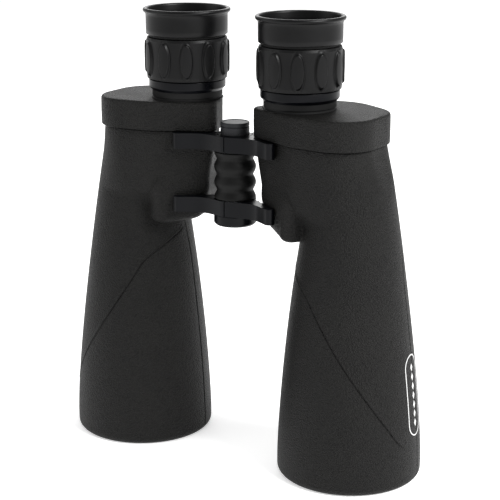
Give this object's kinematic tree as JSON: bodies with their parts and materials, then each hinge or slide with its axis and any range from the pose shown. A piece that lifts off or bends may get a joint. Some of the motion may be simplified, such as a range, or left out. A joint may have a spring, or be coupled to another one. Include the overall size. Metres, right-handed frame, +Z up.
{
  "type": "astronomy binoculars",
  "caption": "Porro-prism astronomy binoculars with conical rubber-armoured barrels, a central hinge, individually focused eyepieces and a capped tripod socket.",
  "frame": {"origin": "on the resting plane, midway between the barrels and in the plane of the optical axes", "axes": "+Z up along the optical axes with the eyepieces at the top, +X across to the right barrel, +Y to the back, away from the hinge"},
  "size_m": [0.2356, 0.0862, 0.2706],
  "materials": {
    "rubber_armour": "fine pebbled moulded rubber, matt",
    "grip_rubber": "smooth moulded rubber, matt",
    "black_anodised": "satin black anodised",
    "barrel_metal": "matt black inside",
    "cast_metal": "die-cast, black finish",
    "steel": "plain",
    "coated_glass": "polished, green coating",
    "optical_glass": "polished"
  },
  "bodies": {
    "left_half": {"left_armour": "rubber_armour", "left_barrel": "barrel_metal", "left_prism_housing": "cast_metal", "left_cover_plate": "cast_metal", "left_cover_cap": "rubber_armour", "left_cover_screws": "steel", "left_prism_shelf": "cast_metal", "left_upper_prism": "optical_glass", "left_lower_prism": "optical_glass", "left_prism_straps": "steel", "left_objective_cell": "black_anodised", "left_objective_ring": "black_anodised", "left_crown_lens": "coated_glass", "left_flint_lens": "optical_glass", "left_eyepiece_base": "black_anodised", "left_index_ring": "black_anodised", "left_upper_arm": "black_anodised", "left_lower_arm": "black_anodised", "left_arm_screws": "steel", "hinge_axle": "steel", "tension_nut": "steel", "thrust_washers": "steel", "grip_sleeve": "grip_rubber", "hinge_top_cap": "black_anodised"},
    "right_half": {"right_armour": "rubber_armour", "right_barrel": "barrel_metal", "right_prism_housing": "cast_metal", "right_cover_plate": "cast_metal", "right_cover_cap": "rubber_armour", "right_cover_screws": "steel", "right_prism_shelf": "cast_metal", "right_upper_prism": "optical_glass", "right_lower_prism": "optical_glass", "right_prism_straps": "steel", "right_objective_cell": "black_anodised", "right_objective_ring": "black_anodised", "right_crown_lens": "coated_glass", "right_flint_lens": "optical_glass", "right_eyepiece_base": "black_anodised", "right_index_ring": "black_anodised", "right_upper_arm": "black_anodised", "right_lower_arm": "black_anodised", "right_arm_screws": "steel"},
    "tripod_cap": {"tripod_cap": "black_anodised"},
    "left_ocular": {"left_ocular_tube": "black_anodised", "left_ocular_seal": "grip_rubber", "left_field_stop": "black_anodised", "left_field_lens": "optical_glass", "left_eye_lens": "coated_glass", "left_eyecup": "grip_rubber"},
    "left_focus": {"left_focus_ring": "black_anodised", "left_focus_grip": "grip_rubber"},
    "right_ocular": {"right_ocular_tube": "black_anodised", "right_ocular_seal": "grip_rubber", "right_field_stop": "black_anodised", "right_field_lens": "optical_glass", "right_eye_lens": "coated_glass", "right_eyecup": "grip_rubber"},
    "right_focus": {"right_focus_ring": "black_anodised", "right_focus_grip": "grip_rubber"}
  },
  "joints": [
    {"name": "interpupillary_hinge", "type": "hinge", "parent": "left_half", "child": "right_half", "pos_m": [0, -0.0085, 0.175], "axis": [0, 0, 1], "range_deg": [0, 62]},
    {"name": "left_focus_travel", "type": "slide", "parent": "left_half", "child": "left_ocular", "axis": [0, 0, 1], "range_m": [-0.0028, 0.0055]},
    {"name": "left_focus_turn", "type": "hinge", "parent": "left_ocular", "child": "left_focus", "pos_m": [-0.03885, 0, 0.243], "axis": [0, 0, 1], "range_deg": [-120, 240]},
    {"name": "right_focus_travel", "type": "slide", "parent": "right_half", "child": "right_ocular", "axis": [0, 0, 1], "range_m": [-0.0028, 0.0055]},
    {"name": "right_focus_turn", "type": "hinge", "parent": "right_ocular", "child": "right_focus", "pos_m": [0.03885, 0, 0.243], "axis": [0, 0, 1], "range_deg": [-120, 240]},
    {"name": "tripod_cap_off", "type": "slide", "parent": "left_half", "child": "tripod_cap", "axis": [0, 0, -1], "range_m": [0, 0.04]}
  ],
  "couplings": [
    {"joint": "left_focus_travel", "follows": "left_focus_turn", "m_per_rad": 0.0012732},
    {"joint": "right_focus_travel", "follows": "right_focus_turn", "m_per_rad": 0.0012732}
  ]
}
